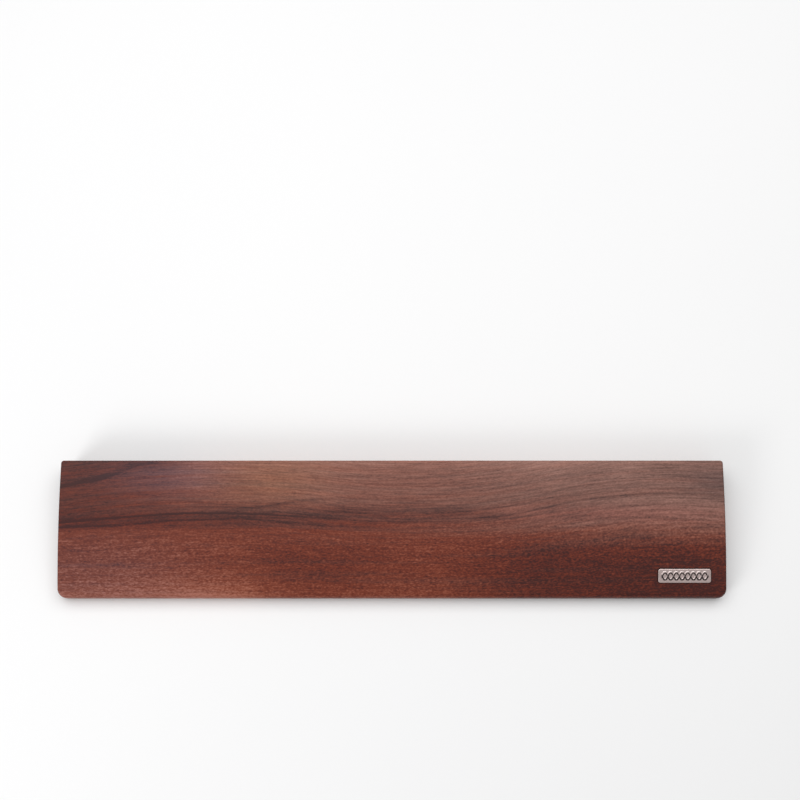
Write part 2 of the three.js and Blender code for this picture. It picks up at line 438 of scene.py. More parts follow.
@dataclass(frozen=True)
class Walnut:
    """Oiled walnut with a satin lacquer: a volume of grain that the board is cut from.

    A tone of 0 is the lightest wood and 1 the darkest.
    """

    length: float
    depth: float
    crown: float
    lean: float = 0.3  # how far back the growth layers move for each unit down
    wander: Cells = Cells(38, 14, 14)
    wander_reach: float = 0.45 * MM
    drift: Cells = Cells(11, 5, 5, 1)
    drift_reach: float = 0.12 * MM
    fibres: Cells = Cells(24, 0.9, 0.9, 3, 0.6)
    fibre_tone: float = 0.145
    back_fibre_tone: float = 0.07  # added at the back, away from the left end
    right_fibre_tone: float = 0.05  # added at the right end
    threads: Cells = Cells(7, 0.8, 0.8)
    thread_tone: float = 0.10
    flecks: Cells = Cells(1.3, 0.6, 0.6, 1)
    fleck_tone: float = 0.08
    front_fleck_tone: float = 0.09  # added at the front
    fleck_growth: float = 0.6  # how much stronger the flecks get from left to right
    bands: Cells = Cells(120, 3.2, 3.2)
    band_tone: float = 0.07
    coarse_pores: Cells = Cells(3.2, 0.42, 0.42, 1)
    fine_pores: Cells = Cells(1.6, 0.25, 0.25, 1)
    pore_tone: float = 0.30
    curl: Cells = Cells(1.9, 1.1, 1.1)
    curl_tone: float = 0.06
    front_curl_tone: float = 0.12  # added at the front
    base_tone: float = 0.045  # taken off to make up for the pores
    line_threads: float = 0.15  # how much the threads break up the growth lines
    line_drift: float = 0.3  # how much the drift does
    band_grey: float = 0.22  # how much greyer the dark bands are
    thread_grey: float = 0.1
    end_grain_colour: Colour = (0.030, 0.012, 0.009)
    end_grain_share: float = 0.35
    specular: float = 0.20
    roughness: float = 0.43
    fibre_roughness: float = 0.02
    pore_roughness: float = 0.12
    end_grain_roughness: float = 0.1
    relief: float = 0.03 * MM
    pore_relief: float = 0.8  # as shares of the relief
    fibre_relief: float = 0.1

    def material(self) -> bpy.types.Material:
        """Builds the wood.

        Returns:
            The material.
        """
        graph = Graph("walnut_satin")
        x, y, z = graph.object_axes()
        # Growth layers lean towards the back as they go down, so the end grain shows them slanting.
        layer = y + (z - self.crown) * self.lean
        along = x / self.length + 0.5
        drift = self.drift.draw(x, layer, z)
        bend = self.wander.draw(x, layer, z) * self.wander_reach + drift * self.drift_reach
        across = (layer + bend) / self.depth + 0.5
        # The fibres run with the growth lines, which are carried back at the right but not at the front.
        grain = layer - along.curve(GRAIN_SWEEP) * across.rise(0.12, 0.75) * self.depth

        fibres = self.fibres.draw(x, grain, z)
        threads = self.threads.draw(x, grain, z)
        bands = self.bands.draw(x, grain, z)
        pores = self._pores(x, grain, z)
        flecks = self.flecks.draw(x, grain, z) * (1 + along * self.fleck_growth)
        curl = self.curl.draw(x, layer, z)
        fibre_tone = self.fibre_tone + along.rise(0.8, 0.95) * self.right_fibre_tone
        fibre_tone = fibre_tone + across.rise(0.3, 0.6) * along.rise(0.1, 0.45) * self.back_fibre_tone
        tone = self._ground(along, across) - self.base_tone
        strength = 1 + threads * self.line_threads + drift * self.line_drift
        tone = tone + self._lines(along, across) * strength
        tone = tone + fibres * fibre_tone + threads * self.thread_tone + bands * self.band_tone
        tone = tone + flecks * (self.fleck_tone + across.rise(0.7, 0.3) * self.front_fleck_tone)
        tone = tone + curl * (self.curl_tone + across.rise(0.55, 0.3) * self.front_curl_tone)
        tone = tone + pores * self.pore_tone

        greyness = self._greyness(along, across) + bands * self.band_grey + threads * self.thread_grey
        colour = graph.mix(greyness.at_least(0), tone.ramp(RED_WOOD), tone.ramp(GREY_WOOD))
        for patch in TINTS:
            colour = graph.mix(patch.draw(along, across), colour, patch.tint, "MULTIPLY")
        end_x, _, _ = graph.object_axes("Normal")
        end_grain = abs(end_x).rise(0.5, 0.95)
        colour = graph.mix(end_grain * self.end_grain_share, colour, self.end_grain_colour)
        roughness = self.roughness + fibres * self.fibre_roughness + pores * self.pore_roughness
        relief = 1 - pores * self.pore_relief + fibres * self.fibre_relief
        return graph.surface(
            {
                "Base Color": colour,
                "Roughness": roughness + end_grain * self.end_grain_roughness,
                "Specular IOR Level": self.specular,
                "Normal": graph.bump(relief, self.relief),
            }
        )

    def _ground(self, along: Signal, across: Signal) -> Signal:
        """The slow change of tone over the board.

        Args:
            along: The share of the board's length.
            across: The share of its depth.

        Returns:
            The tone.
        """
        tone = across.curve(GROUND_STRIPS[0].knots)
        for before, strip in zip(GROUND_STRIPS, GROUND_STRIPS[1:]):
            blend = along.rise(before.along, strip.along)
            tone = tone + (across.curve(strip.knots) - tone) * blend
        return tone

    def _lines(self, along: Signal, across: Signal) -> Signal:
        """All the growth lines together.

        Args:
            along: The share of the board's length.
            across: The share of its depth.

        Returns:
            The tone that they add.
        """
        first, *rest = [line.draw(along, across, self.depth) for line in GROWTH_LINES]
        return sum(rest, first)

    def _pores(self, x: Signal, layer: Signal, z: Signal) -> Signal:
        """Short open pores along the grain.

        Args:
            x: The place along the grain.
            layer: The place across it.
            z: The height.

        Returns:
            1 in a pore and 0 beside it.
        """
        coarse = self.coarse_pores.draw(x, layer, z).rise(0.35, 1.0)
        fine = self.fine_pores.draw(x, layer, z).rise(0.4, 1.1)
        return coarse * 0.7 + fine * 0.4

    def _greyness(self, along: Signal, across: Signal) -> Signal:
        """How grey the wood is, from its red front to its back.

        Args:
            along: The share of the board's length.
            across: The share of its depth.

        Returns:
            0 for red wood and 1 for grey.
        """
        # The grey starts further forward at the right, and it is stronger there.
        share = 0.2 + along.rise(0.1, 0.4) * 0.42 + along.rise(0.5, 0.85) * 0.36
        return (across + along.rise(0.45, 0.8) * 0.09).rise(0.38, 0.74) * share


RED_WOOD = (
    (0.0, (0.340, 0.115, 0.075)),
    (0.25, (0.250, 0.070, 0.040)),
    (0.5, (0.168, 0.034, 0.017)),
    (0.75, (0.105, 0.0205, 0.0128)),
    (1.0, (0.050, 0.013, 0.011)),
)

GREY_WOOD = (
    (0.0, (0.345, 0.180, 0.142)),
    (0.25, (0.255, 0.127, 0.100)),
    (0.5, (0.172, 0.082, 0.064)),
    (0.75, (0.105, 0.050, 0.041)),
    (1.0, (0.050, 0.024, 0.022)),
)

GROUND_STRIPS = (
    GroundStrip(
        along=0.04,
        knots=((0, 0.35), (0.2, 0.58), (0.45, 0.61), (0.54, 0.92), (0.65, 0.80), (0.78, 0.82), (1, 0.83)),
    ),
    GroundStrip(
        along=0.13,
        knots=((0, 0.30), (0.2, 0.56), (0.45, 0.57), (0.55, 0.84), (0.68, 0.68), (0.8, 0.70), (1, 0.76)),
    ),
    GroundStrip(
        along=0.22,
        knots=((0, 0.20), (0.2, 0.55), (0.45, 0.54), (0.55, 0.77), (0.68, 0.53), (0.8, 0.54), (1, 0.36)),
    ),
    GroundStrip(
        along=0.38,
        knots=((0, 0.54), (0.25, 0.71), (0.45, 0.57), (0.57, 0.70), (0.68, 0.43), (0.8, 0.46), (1, 0.21)),
    ),
    GroundStrip(
        along=0.55,
        knots=((0, 0.50), (0.25, 0.58), (0.45, 0.52), (0.6, 0.60), (0.68, 0.47), (0.8, 0.50), (1, 0.18)),
    ),
    GroundStrip(
        along=0.74,
        knots=((0, 0.83), (0.25, 0.85), (0.42, 0.65), (0.58, 0.50), (0.7, 0.52), (0.8, 0.46), (1, 0.15)),
    ),
    GroundStrip(
        along=0.94,
        knots=((0, 0.97), (0.3, 0.84), (0.42, 0.58), (0.58, 0.42), (0.7, 0.38), (0.8, 0.48), (1, 0.36)),
    ),
)

# How far back the fibres have been carried, as a share of the depth, from left to right.
GRAIN_SWEEP = (
    (0, 0.0),
    (0.09, 0.05),
    (0.18, 0.075),
    (0.34, 0.055),
    (0.46, 0.0),
    (0.58, 0.0),
    (0.67, 0.04),
    (0.78, 0.13),
    (0.88, 0.18),
    (1, 0.18),
)

GROWTH_LINES = (
    # The purple streak that climbs to the back edge at the left.
    GrowthLine(
        front_width=0.9,
        back_width=2.6,
        knots=(
            Knot(0.0, 0.808, 0.30), Knot(0.045, 0.838, 0.30), Knot(0.085, 0.900, 0.30),
            Knot(0.125, 0.965, 0.26), Knot(0.17, 0.99, 0.06), Knot(1.0, 1.0, 0.0),
        ),
    ),
    # The two main lines that rise from the left end and settle into the dark band.
    GrowthLine(
        front_width=0.5,
        back_width=0.7,
        knots=(
            Knot(0.0, 0.528, 0.46), Knot(0.08, 0.567, 0.38), Knot(0.17, 0.597, 0.42),
            Knot(0.263, 0.600, 0.44), Knot(0.347, 0.582, 0.28), Knot(0.45, 0.545, 0.16),
            Knot(0.6, 0.54, 0.0), Knot(1.0, 0.54, 0.0),
        ),
    ),
    GrowthLine(
        front_width=0.5,
        back_width=0.9,
        knots=(
            Knot(0.0, 0.492, 0.30), Knot(0.087, 0.512, 0.26), Knot(0.171, 0.546, 0.26),
            Knot(0.264, 0.560, 0.28), Knot(0.347, 0.530, 0.20), Knot(0.446, 0.500, 0.14),
            Knot(0.6, 0.48, 0.0), Knot(1.0, 0.48, 0.0),
        ),
    ),
    # The line under the tan patch, the top of the dark band.
    GrowthLine(
        front_width=1.2,
        back_width=0.6,
        knots=(
            Knot(0.0, 0.68, 0.0), Knot(0.14, 0.703, 0.03), Knot(0.2, 0.692, 0.12),
            Knot(0.263, 0.658, 0.20), Knot(0.3, 0.655, 0.22), Knot(0.35, 0.695, 0.18),
            Knot(0.42, 0.72, 0.12), Knot(0.5, 0.71, 0.06), Knot(0.6, 0.70, 0.0),
            Knot(1.0, 0.70, 0.0),
        ),
    ),
    # The broad dark band.
    GrowthLine(
        front_width=6.0,
        back_width=5.0,
        knots=(
            Knot(0.0, 0.60, 0.0), Knot(0.2, 0.62, 0.04), Knot(0.33, 0.63, 0.14),
            Knot(0.45, 0.62, 0.16), Knot(0.56, 0.60, 0.13), Knot(0.68, 0.59, 0.05),
            Knot(0.8, 0.6, 0.0), Knot(1.0, 0.6, 0.0),
        ),
    ),
    # Fine lines that sweep up to the back edge at the right.
    GrowthLine(
        front_width=0.6,
        back_width=0.5,
        knots=(
            Knot(0.0, 0.60, 0.0), Knot(0.5, 0.60, 0.0), Knot(0.57, 0.605, 0.14),
            Knot(0.653, 0.638, 0.24), Knot(0.715, 0.700, 0.16), Knot(0.8, 0.75, 0.10),
            Knot(0.9, 0.77, 0.05), Knot(1.0, 0.77, 0.0),
        ),
    ),
    GrowthLine(
        front_width=0.6,
        back_width=0.6,
        knots=(
            Knot(0.0, 0.56, 0.0), Knot(0.55, 0.56, 0.0), Knot(0.662, 0.578, 0.14),
            Knot(0.707, 0.620, 0.16), Knot(0.782, 0.700, 0.18), Knot(0.857, 0.742, 0.20),
            Knot(0.949, 0.748, 0.20), Knot(1.0, 0.735, 0.14),
        ),
    ),
    GrowthLine(
        front_width=0.7,
        back_width=0.7,
        knots=(
            Knot(0.0, 0.80, 0.0), Knot(0.62, 0.80, 0.0), Knot(0.70, 0.84, 0.12),
            Knot(0.78, 0.90, 0.10), Knot(0.88, 0.93, 0.08), Knot(1.0, 0.90, 0.04),
        ),
    ),
)

TINTS = (
    # Tan, over the dark band.
    Patch(0.30, 0.85, 0.09, 0.16, (1.24, 1.26, 1.02)),
    # Purple, at the back left and at the front left.
    Patch(0.155, 0.88, 0.09, 0.14, (1.05, 1.48, 2.25)),
    Patch(0.05, 0.20, 0.15, 0.26, (1.05, 1.45, 2.00)),
    # Greyer and darker at the back right corner.
    Patch(1.00, 0.84, 0.05, 0.12, (0.62, 0.68, 0.75)),
    # Warm wood behind the badge and along the front.
    Patch(0.84, 0.60, 0.17, 0.07, (1.10, 0.88, 0.86)),
    Patch(0.24, 0.06, 0.10, 0.14, (1.12, 1.18, 1.18)),
)


@dataclass(frozen=True)
class StruckNickel:
    """Die-struck nickel: dark fill on the raised work, with painted shade on its front flanks and a painted
    highlight on its back flanks.
    """

    plain: Colour = (0.66, 0.53, 0.505)
    worn: Colour = (0.42, 0.33, 0.315)
    # the braid's dark fill, which also carries a little painted shade on its front flanks
    dark_fill_and_shade: Colour = (0.040, 0.030, 0.030)
    # the colour of the painted highlight on the braid's back flanks
    painted_highlight: Colour = (1.0, 0.95, 0.93)
    grain: Cells = Cells(0.25, 0.25, 0.25, 3)
    brushing: Cells = Cells(4, 0.12, 0.12)
    wear: float = 0.25
    metallic: float = 0.75
    roughness: float = 0.30
    dark_roughness: float = 0.12  # added where the dark fill and painted shade are
    painted_highlight_roughness: float = 0.08  # taken off where the highlight is painted
    grain_roughness: float = 0.04
    relief: float = 0.01 * MM

    def material(self) -> bpy.types.Material:
        """Builds the metal. The mesh's point attribute is 1 where the metal has its dark fill and painted
        shade, and -1 where a highlight is painted on the back flanks.

        Returns:
            The material.
        """
        graph = Graph("nickel_struck")
        made = graph.node("ShaderNodeAttribute", {"attribute_name": "dark_fill_and_painted_light"})
        dark_fill_and_painted_light = Signal(graph, made.outputs["Fac"])
        # the dark fill, with a little painted shade on the front flanks
        dark = dark_fill_and_painted_light.at_least(0)
        # painted highlight: the share of the light colour painted on the braid's back flanks
        highlight_share = (0 - dark_fill_and_painted_light).at_least(0)
        place = graph.object_axes()
        grain = self.grain.draw(*place)
        colour = graph.mix(grain.rise(0.2, 1.4) * self.wear, self.plain, self.worn)
        colour = graph.mix(dark, colour, self.dark_fill_and_shade)
        colour = graph.mix(highlight_share, colour, self.painted_highlight)
        roughness = self.roughness + dark * self.dark_roughness - highlight_share * self.painted_highlight_roughness
        relief = self.brushing.draw(*place) * 0.5 + grain * 0.5
        return graph.surface(
            {
                "Base Color": colour,
                "Metallic": self.metallic,
                "Roughness": roughness + grain * self.grain_roughness,
                "Normal": graph.bump(relief, self.relief),
            }
        )


@dataclass(frozen=True)
class FineFinish:
    """A finish of two close colours, with a fine texture in its gloss and its relief."""

    name: str
    colours: tuple[Colour, Colour]
    mottle: Cells  # mixes the two colours
    mottle_range: Point2  # where the mottle starts and where it is full
    mottle_share: float
    texture: Cells
    relief: float
    roughness: float
    texture_roughness: float
    mottle_roughness: float = 0.0
    metallic: float = 0.0
    specular: float = 0.5

    def material(self) -> bpy.types.Material:
        """Builds the finish.

        Returns:
            The material.
        """
        graph = Graph(self.name)
        place = graph.object_axes()
        texture = self.texture.draw(*place)
        mottle = self.mottle.draw(*place)
        roughness = texture * self.texture_roughness + mottle.rise(0, 1) * self.mottle_roughness
        return graph.surface(
            {
                "Base Color": graph.mix(mottle.rise(*self.mottle_range) * self.mottle_share, *self.colours),
                "Metallic": self.metallic,
                "Roughness": roughness + self.roughness,
                "Specular IOR Level": self.specular,
                "Normal": graph.bump(texture, self.relief),
            }
        )


# Brass wire with the fine lines that a drawing die leaves along it.
DRAWN_BRASS = FineFinish(
    name="brass_drawn",
    colours=((0.62, 0.43, 0.19), (0.44, 0.29, 0.12)),
    mottle=Cells(0.08, 0.08, 2),
    mottle_range=(-1, 1),
    mottle_share=1.0,
    texture=Cells(0.08, 0.08, 2),
    relief=0.004 * MM,
    roughness=0.32,
    texture_roughness=0.05,
    metallic=1.0,
)

# Matt black silicone rubber with a fine spark-eroded texture and a little dust.
MOULDED_RUBBER = FineFinish(
    name="rubber_moulded",
    colours=((0.018, 0.018, 0.020), (0.050, 0.048, 0.045)),
    mottle=Cells(2.5, 2.5, 2.5, 4, 0.7),
    mottle_range=(0.2, 1.2),
    mottle_share=0.5,
    texture=Cells(0.12, 0.12, 0.12),
    relief=0.012 * MM,
    roughness=0.68,
    texture_roughness=0.06,
    mottle_roughness=0.1,
    specular=0.4,
)

# Translucent double-sided tape, milky with fine bubbles.
ACRYLIC_TAPE = FineFinish(
    name="tape_acrylic",
    colours=((0.72, 0.70, 0.64), (0.60, 0.57, 0.50)),
    mottle=Cells(0.4, 0.4, 0.4),
    mottle_range=(0.3, 1.3),
    mottle_share=1.0,
    texture=Cells(0.4, 0.4, 0.4),
    relief=0.01 * MM,
    roughness=0.42,
    texture_roughness=0.08,
)


# ---------------------------------------------------------------- Mesh building


def mesh_of(
    name: str, points: Sequence[Sequence[float]], faces: Sequence[Sequence[int]]
) -> bpy.types.Mesh:
    """Makes a mesh.

    Args:
        name: Its name.
        points: Its vertices.
        faces: The vertices of each face, anticlockwise from outside.

    Returns:
        The mesh.
    """
    mesh = bpy.data.meshes.new(name)
    mesh.from_pydata(points, [], faces)
    mesh.update()
    return mesh


def skin(levels: int, around: int) -> list[tuple[int, ...]]:
    """The faces between rings of points that lie one above the other.

    Args:
        levels: How many rings there are.
        around: How many points each has, anticlockwise from above.

    Returns:
        The faces.
    """
    faces = []
    for low in range(0, (levels - 1) * around, around):
        for i in range(around):
            j = (i + 1) % around
            faces.append((low + i, low + j, low + j + around, low + i + around))
    return faces


def stack(name: str, rings: Sequence[Sequence[Sequence[float]]]) -> bpy.types.Mesh:
    """A closed solid with a flat bottom and a flat top.

    Args:
        name: The mesh's name.
        rings: Its rings of points, lowest first.

    Returns:
        The mesh.
    """
    around = len(rings[0])
    points = [point for ring in rings for point in ring]
    floor = tuple(reversed(range(around)))
    roof = tuple(range(len(points) - around, len(points)))
    return mesh_of(name, points, [floor, *skin(len(rings), around), roof])


def quarter(steps: int) -> list[Point2]:
    """Sine and cosine pairs of a quarter turn, for rounded edges.

    Args:
        steps: How many facets it has.

    Returns:
        The pairs, from (0, 1) to (1, 0).
    """
    turns = [i / steps * math.pi / 2 for i in range(steps + 1)]
    return [(math.sin(turn), math.cos(turn)) for turn in turns]


def object_of(mesh: bpy.types.Mesh, place: Matrix | None = None) -> bpy.types.Object:
    """Puts a mesh into the scene, under the mesh's name.

    Args:
        mesh: The mesh.
        place: Where it goes, or None for the frame's origin.

    Returns:
        The object.
    """
    made = bpy.data.objects.new(mesh.name, mesh)
    bpy.context.scene.collection.objects.link(made)
    if place is not None:
        made.matrix_world = place
    return made


def shade(piece: bpy.types.Object, sharp: float = SHARP_ANGLE) -> None:
    """Shades a piece smooth, apart from its real edges, with the normals of its larger faces.

    Args:
        piece: The piece.
        sharp: The angle from which an edge is a real one.
    """
    work = bmesh.new()
    work.from_mesh(piece.data)
    for face in work.faces:
        face.smooth = True
    for edge in work.edges:
        edge.smooth = len(edge.link_faces) == 2 and edge.calc_face_angle() < sharp
    work.to_mesh(piece.data)
    work.free()
    weighted = piece.modifiers.new("face_weighted_normals", "WEIGHTED_NORMAL")
    weighted.keep_sharp = True


def cut(piece: bpy.types.Object, cutters: Iterable[bpy.types.Object]) -> None:
    """Cuts shapes out of a piece, and removes the cutters.

    Args:
        piece: The piece.
        cutters: The closed shapes to take away.
    """
    for cutter in cutters:
        modifier = piece.modifiers.new("cut", "BOOLEAN")
        modifier.operation = "DIFFERENCE"
        modifier.solver = "EXACT"
        modifier.object = cutter
        graph = bpy.context.evaluated_depsgraph_get()
        name = piece.data.name
        worked = bpy.data.meshes.new_from_object(piece.evaluated_get(graph))
        piece.modifiers.clear()
        old = piece.data
        piece.data = worked
        bpy.data.meshes.remove(old)
        worked.name = name
        bpy.data.objects.remove(cutter)


@dataclass(frozen=True)
class RimPoint:
    """A point of a block's outline: its corner's centre and radius, and the way it faces."""

    x: float
    y: float
    radius: float
    out_x: float
    out_y: float


def half_outline(
    length: float, depth: float, corners: Point2, side_steps: int, corner_steps: int
) -> list[RimPoint]:
    """The right-hand half of a rounded rectangle round the origin, from front to back.

    Args:
        length: Its size along X.
        depth: Its size along Y.
        corners: The radii of its front corners and its back corners.
        side_steps: How many facets its side has.
        corner_steps: How many facets each corner has.

    Returns:
        The half's points.
    """
    front, back = corners[0] - depth / 2, depth / 2 - corners[1]
    ends = []
    for radius, y, start in ((corners[0], front, -math.pi / 2), (corners[1], back, 0.0)):
        turns = [start + i / corner_steps * math.pi / 2 for i in range(corner_steps + 1)]
        x = length / 2 - radius
        ends.append([RimPoint(x, y, radius, math.cos(turn), math.sin(turn)) for turn in turns])
    heights = [front + (back - front) * i / side_steps for i in range(1, side_steps)]
    return [*ends[0], *(RimPoint(length / 2, y, 0.0, 1.0, 0.0) for y in heights), *ends[1]]


@dataclass(frozen=True)
class EasedBlock:
    """A block with a rounded-rectangle outline, a flat bottom, a shaped top and rounded edges."""

    length: float
    depth: float
    front_corner: float
    back_corner: float
    bottom: float
    top: Callable[[float, float], float]
    front_ease: float
    end_ease: float
    bottom_ease: float
    side_steps: int = 64
    corner_steps: int = 14
    ease_steps: int = 9
    columns: int = 1

    def _ring(
        self, half: Sequence[RimPoint], inset: Callable[[RimPoint], float], height: Callable[..., float]
    ) -> list[list[float]]:
        """One level of the skin.

        Args:
            half: The right-hand half of the outline.
            inset: How far a point of it has moved in.
            height: Its height, from the rim point and its place.

        Returns:
            The ring's points, anticlockwise from above.
        """
        right = []
        for rim in half:
            reach = rim.radius - inset(rim)
            x = rim.x + reach * rim.out_x
            y = rim.y + reach * rim.out_y
            right.append((rim, x, y))
        ring = [[x, y, height(rim, x, y)] for rim, x, y in right]
        return ring + [[-x, y, height(rim, -x, y)] for rim, x, y in reversed(right)]

    def _ease(self, rim: RimPoint) -> float:
        """The top edge's radius, changing slowly enough that the cap's rungs stay in order."""
        return self.end_ease + (self.front_ease - self.end_ease) * max(0.0, -rim.out_y)

    def mesh(self, name: str) -> bpy.types.Mesh:
        """Builds the block.

        Args:
            name: The mesh's name.

        Returns:
            The mesh.
        """
        corners = (self.front_corner, self.back_corner)
        half = half_outline(self.length, self.depth, corners, self.side_steps, self.corner_steps)
        rings = []
        for sine, cosine in quarter(self.ease_steps):
            inset = self.bottom_ease * (1 - sine)
            height = self.bottom + self.bottom_ease * (1 - cosine)
            rings.append(self._ring(half, lambda rim, d=inset: d, lambda rim, x, y, h=height: h))
        for sine, cosine in quarter(self.ease_steps):
            rings.append(
                self._ring(
                    half,
                    lambda rim, share=1 - cosine: self._ease(rim) * share,
                    lambda rim, x, y, share=1 - sine: self.top(x, y) - self._ease(rim) * share,
                )
            )
        around = 2 * len(half)
        points = [point for ring in rings for point in ring]
        faces = skin(len(rings), around)
        for i in range(len(half) - 1):
            mirror = around - 1 - i
            faces.append((mirror, mirror - 1, i + 1, i))
        self._add_cap(points, faces, len(points) - around, len(half))
        return mesh_of(name, points, faces)

    def _add_cap(
        self, points: list[list[float]], faces: list[tuple[int, ...]], roof: int, rows: int
    ) -> None:
        """Closes the top with rungs that join the two points of the same y, divided into columns.

        The first and last rungs are edges of the skin below, so they stay whole.

        Args:
            points: The block's points, which the rungs' points are added to.
            faces: Its faces, which the cap's faces are added to.
            roof: The number of the top ring's first point.
            rows: How many rungs there are.
        """
        rungs = []
        for i in range(rows):
            right, left = roof + i, roof + 2 * rows - 1 - i
            rung = [left]
            for column in range(1, self.columns if 0 < i < rows - 1 else 1):
                share = column / self.columns
                x = points[left][0] + (points[right][0] - points[left][0]) * share
                rung.append(len(points))
                points.append([x, points[left][1], self.top(x, points[left][1])])
            rungs.append(rung + [right])
        for lower, upper in zip(rungs, rungs[1:]):
            if len(lower) != len(upper):
                faces.append((*lower, *reversed(upper)))
                continue
            for j in range(len(lower) - 1):
                faces.append((lower[j], lower[j + 1], upper[j + 1], upper[j]))


@dataclass(frozen=True)
class Turned:
    """A round solid about the Z axis, from a profile of (radius, height) pairs, lowest first."""

    profile: tuple[Point2, ...]
    steps: int = 96

    def mesh(self, name: str, x: float = 0.0, y: float = 0.0) -> bpy.types.Mesh:
        """Builds the solid.

        Args:
            name: The mesh's name.
            x: Where its axis is.
            y: Where its axis is.

        Returns:
            The mesh.
        """
        turns = [2 * math.pi * i / self.steps for i in range(self.steps)]
        rings = [
            [(x + radius * math.cos(turn), y + radius * math.sin(turn), z) for turn in turns]
            for radius, z in self.profile
        ]
        return stack(name, rings)


# ---------------------------------------------------------------- The board


@dataclass(frozen=True)
class Board:
    """The walnut board, with its foot recesses and its badge pocket."""

    low: Vector
    high: Vector
    front_wall: float = 7.5 * MM  # its height where the palm arc would meet the front wall
    front_corner: float = 4.6 * MM
    back_corner: float = 1.6 * MM
    front_ease: float = 2.4 * MM
    end_ease: float = 1 * MM
    bottom_ease: float = 0.8 * MM
    recess_depth: float = 1.3 * MM
    recess_clearance: float = 0.3 * MM
    mouth_ease: float = 0.25 * MM  # round the mouths of the recesses and the pocket

    @property
    def length(self) -> float:
        """The board's length."""
        return self.high.x - self.low.x

    @property
    def depth(self) -> float:
        """The board's depth."""
        return self.high.y - self.low.y

    @property
    def palm_radius(self) -> float:
        """The radius of the palm surface's arc, which is level at the back edge."""
        drop = self.high.z - self.low.z - self.front_wall
        return (self.depth**2 + drop**2) / (2 * drop)

    def palm(self, y: float) -> float:
        """The height of the palm surface at y."""
        from_back = self.high.y - y
        return self.high.z - self.palm_radius + math.sqrt(self.palm_radius**2 - from_back**2)

    def palm_slope(self, y: float) -> float:
        """The slope of the palm surface at y, in radians."""
        return math.asin((self.high.y - y) / self.palm_radius)

    def recess(self, x: float, y: float, radius: float) -> bpy.types.Object:
        """The shape that a foot's recess takes out of the underside.

        Args:
            x: The foot's axis.
            y: The foot's axis.
            radius: The foot's radius.

        Returns:
            The cutter.
        """
        wall = radius + self.recess_clearance
        below = self.low.z - self.mouth_ease
        profile = [(wall + self.mouth_ease, below)]
        for sine, cosine in quarter(MOUTH_STEPS):
            wider, higher = self.mouth_ease * (1 - sine), self.mouth_ease * (1 - cosine)
            profile.append((wall + wider, self.low.z + higher))
        profile.append((wall, self.low.z + self.recess_depth))
        return object_of(Turned(tuple(profile)).mesh("recess_cutter", x, y))

    def build(self, feet: Sequence["Foot"], badge: "Badge") -> bpy.types.Object:
        """Makes the board and dresses it.

        Args:
            feet: The feet that it has recesses for.
            badge: The badge that it has a pocket for.

        Returns:
            The piece.
        """
        block = EasedBlock(
            length=self.length,
            depth=self.depth,
            front_corner=self.front_corner,
            back_corner=self.back_corner,
            bottom=self.low.z,
            top=lambda x, y: self.palm(y),
            front_ease=self.front_ease,
            end_ease=self.end_ease,
            bottom_ease=self.bottom_ease,
            ease_steps=16,
        )
        piece = object_of(block.mesh("board_walnut"))
        cutters = [self.recess(foot.x, foot.y, foot.radius) for foot in feet]
        cut(piece, [*cutters, badge.pocket(self.mouth_ease), *badge.pin_holes()])
        shade(piece)
        piece.data.materials.append(Walnut(self.length, self.depth, self.high.z).material())
        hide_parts("wood_body")
        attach(piece, ROOT)
        return piece


# ---------------------------------------------------------------- The feet


@dataclass(frozen=True)
class Foot:
    """A round rubber foot with a shallow moulded ring in its underside."""

    place: str
    low: Vector
    high: Vector
    edge_ease: float = 0.5 * MM
    groove_share: float = 0.66
    groove_half_width: float = 0.3 * MM
    groove_depth: float = 0.15 * MM
    groove_steps: int = 12
    edge_steps: int = 8
    nick: float = 0.02 * MM  # the bevel of the top edge, and the radius of the innermost rings

    @property
    def radius(self) -> float:
        """The foot's radius."""
        return (self.high.x - self.low.x) / 2

    @property
    def x(self) -> float:
        """Where the foot's axis is."""
        return (self.low.x + self.high.x) / 2

    @property
    def y(self) -> float:
        """Where the foot's axis is."""
        return (self.low.y + self.high.y) / 2

    def build(self, rubber: bpy.types.Material, tape: bpy.types.Material) -> bpy.types.Object:
        """Makes the foot, and dresses it and its adhesive disc.

        Args:
            rubber: The foot's material.
            tape: The disc's material.

        Returns:
            The piece.
        """
        ring = self.radius * self.groove_share
        profile = [(self.nick, self.low.z)]
        for i in range(self.groove_steps + 1):
            turn = i / self.groove_steps * 2 * math.pi
            shift = (2 * i / self.groove_steps - 1) * self.groove_half_width
            profile.append((ring + shift, self.low.z + self.groove_depth * (1 - math.cos(turn)) / 2))
        for sine, cosine in quarter(self.edge_steps):
            radius = self.radius - self.edge_ease * (1 - sine)
            profile.append((radius, self.low.z + self.edge_ease * (1 - cosine)))
        top = self.high.z
        profile += [(self.radius, top - self.nick), (self.radius - self.nick, top), (self.nick, top)]
        piece = object_of(Turned(tuple(profile)).mesh(f"rubber_foot_{self.place}", self.x, self.y))
        shade(piece)
        piece.data.materials.append(rubber)
        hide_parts(f"foot_{self.place}")
        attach(piece, ROOT)
        dress(f"foot_adhesive_{self.place}", tape)
        return piece


def dress(node: str, material: bpy.types.Material) -> None:
    """Gives a CAD node's object a new material.

    Args:
        node: The node's name.
        material: The material.
    """
    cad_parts[node].material_slots[0].material = material
    log.info("%s: CAD node dressed in %s", node, material.name)


# ---------------------------------------------------------------- The badge


